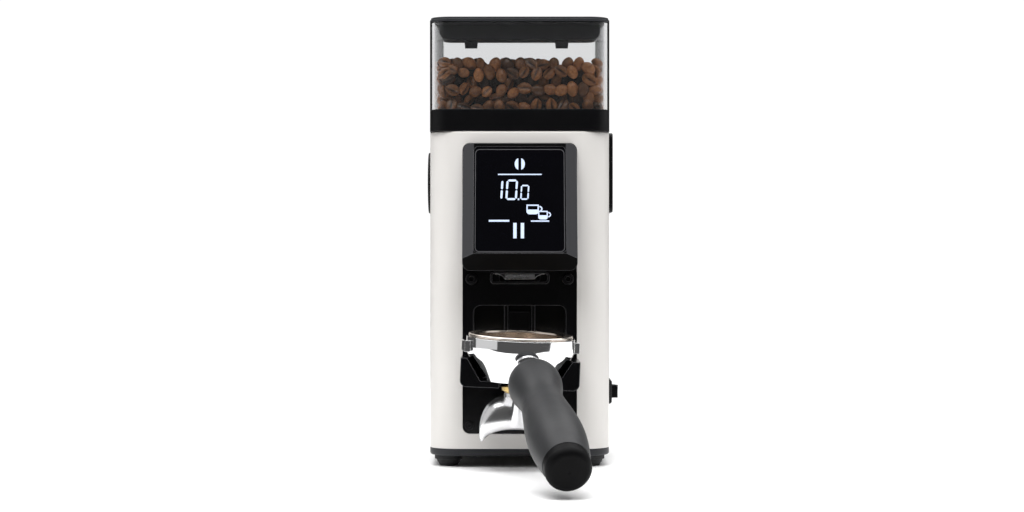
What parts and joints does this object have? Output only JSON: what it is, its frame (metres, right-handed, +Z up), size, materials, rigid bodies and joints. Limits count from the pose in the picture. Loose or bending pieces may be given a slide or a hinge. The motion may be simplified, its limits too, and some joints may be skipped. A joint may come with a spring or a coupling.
{
  "type": "burr coffee grinder",
  "caption": "Upright electric burr coffee grinder with a clear bean hopper, a leaning touch display and a portafilter resting in its fork.",
  "frame": {"origin": "on the table under the middle of the overall length, on the body's centre plane", "axes": "+X to the user's right, +Y from the portafilter handle towards the rear, +Z up"},
  "size_m": [0.1378, 0.391, 0.3121],
  "materials": {
    "paint_white": "satin",
    "dark_plastic": "matte",
    "black_plastic": "matte",
    "gloss_black": "glossy",
    "display_glass": "polished",
    "clear_plastic": "polished",
    "board_green": "solder mask",
    "steel": "brushed",
    "burr_steel": "ground",
    "chrome": "mirror",
    "brass": "satin",
    "aluminium": "cast",
    "core_iron": "laminated",
    "enamel_copper": "enamelled",
    "rubber": "matte",
    "soft_grip": "soft touch",
    "beans": "roasted, slightly oily"
  },
  "bodies": {
    "housing": {"body_shell": "paint_white", "base_plate": "dark_plastic", "rubber_feet": "rubber", "rear_cover": "black_plastic", "rear_cover_screws": "steel", "side_vent": "black_plastic", "motor_bracket": "steel", "front_panel": "gloss_black", "panel_screws": "black_plastic", "lower_panel_screws": "black_plastic", "fork": "gloss_black", "fork_screws": "steel", "paddle_spring": "steel", "micro_switch": "black_plastic", "display_bezel": "gloss_black", "display_glass": "display_glass", "display_module": "black_plastic", "control_board": "board_green", "outlet_chute": "black_plastic", "outlet_nozzle": "gloss_black", "declumper_clip": "steel", "dial_bezel": "black_plastic", "worm_bracket": "aluminium", "grinding_chamber": "aluminium", "motor_stator": "core_iron", "motor_windings": "enamel_copper", "motor_end_bells": "aluminium", "ball_bearings": "steel", "start_capacitor": "aluminium", "power_inlet": "black_plastic", "switch_bezel": "black_plastic"},
    "rotor": {"motor_shaft": "steel", "motor_rotor": "core_iron", "cooling_fan": "black_plastic", "lower_burr_carrier": "aluminium", "lower_burr": "burr_steel", "lower_burr_screws": "steel", "shaft_nut": "steel"},
    "burr_carrier": {"upper_burr_carrier": "aluminium", "gear_ring": "brass", "upper_burr": "burr_steel", "upper_burr_screws": "steel"},
    "dial": {"adjust_dial": "black_plastic", "worm_shaft": "steel"},
    "paddle": {"start_paddle": "gloss_black"},
    "rocker": {"switch_rocker": "gloss_black"},
    "hopper": {"hopper_collar": "black_plastic", "hopper_wall": "clear_plastic", "bean_charge": "beans"},
    "gate": {"hopper_gate": "steel"},
    "lid": {"lid": "dark_plastic", "lid_seal": "rubber"},
    "portafilter": {"portafilter_body": "chrome", "filter_basket": "chrome", "basket_spring": "steel", "spout_ring": "brass", "double_spout": "chrome", "handle_ferrule": "chrome", "handle_grip": "soft_grip", "handle_cap": "soft_grip"}
  },
  "joints": [
    {"name": "rotor_spin", "type": "hinge", "parent": "housing", "child": "rotor", "pos_m": [0, 0.0916, 0.1], "axis": [0, 0, 1], "continuous": true},
    {"name": "carrier_turn", "type": "hinge", "parent": "housing", "child": "burr_carrier", "pos_m": [0, 0.0916, 0.186], "axis": [0, 0, 1], "range_deg": [-12, 24]},
    {"name": "dial_turn", "type": "hinge", "parent": "housing", "child": "dial", "pos_m": [-0.06, 0.1426, 0.201], "axis": [1, 0, 0], "range_deg": [-720, 1440]},
    {"name": "paddle_press", "type": "slide", "parent": "housing", "child": "paddle", "axis": [0, 1, 0], "range_m": [0, 0.0025], "stiffness_N_per_m": 400, "springref_m": -0.002, "deforming": ["paddle_spring"]},
    {"name": "power_rocker", "type": "hinge", "parent": "housing", "child": "rocker", "pos_m": [0.0606, 0.0686, 0.05], "axis": [0, 0, 1], "range_deg": [-20, 0]},
    {"name": "hopper_lift", "type": "slide", "parent": "housing", "child": "hopper", "axis": [0, 0, 1], "range_m": [0, 0.04]},
    {"name": "gate_slide", "type": "slide", "parent": "hopper", "child": "gate", "axis": [0, 1, 0], "range_m": [0, 0.048]},
    {"name": "lid_lift", "type": "slide", "parent": "hopper", "child": "lid", "axis": [0, 0, 1], "range_m": [0, 0.035]},
    {"name": "portafilter_slide", "type": "slide", "parent": "housing", "child": "portafilter", "axis": [-0.0021, -0.9986, -0.0523], "range_m": [0, 0.06]}
  ],
  "couplings": [
    {"joint": "dial_turn", "follows": "carrier_turn", "ratio": 60}
  ]
}
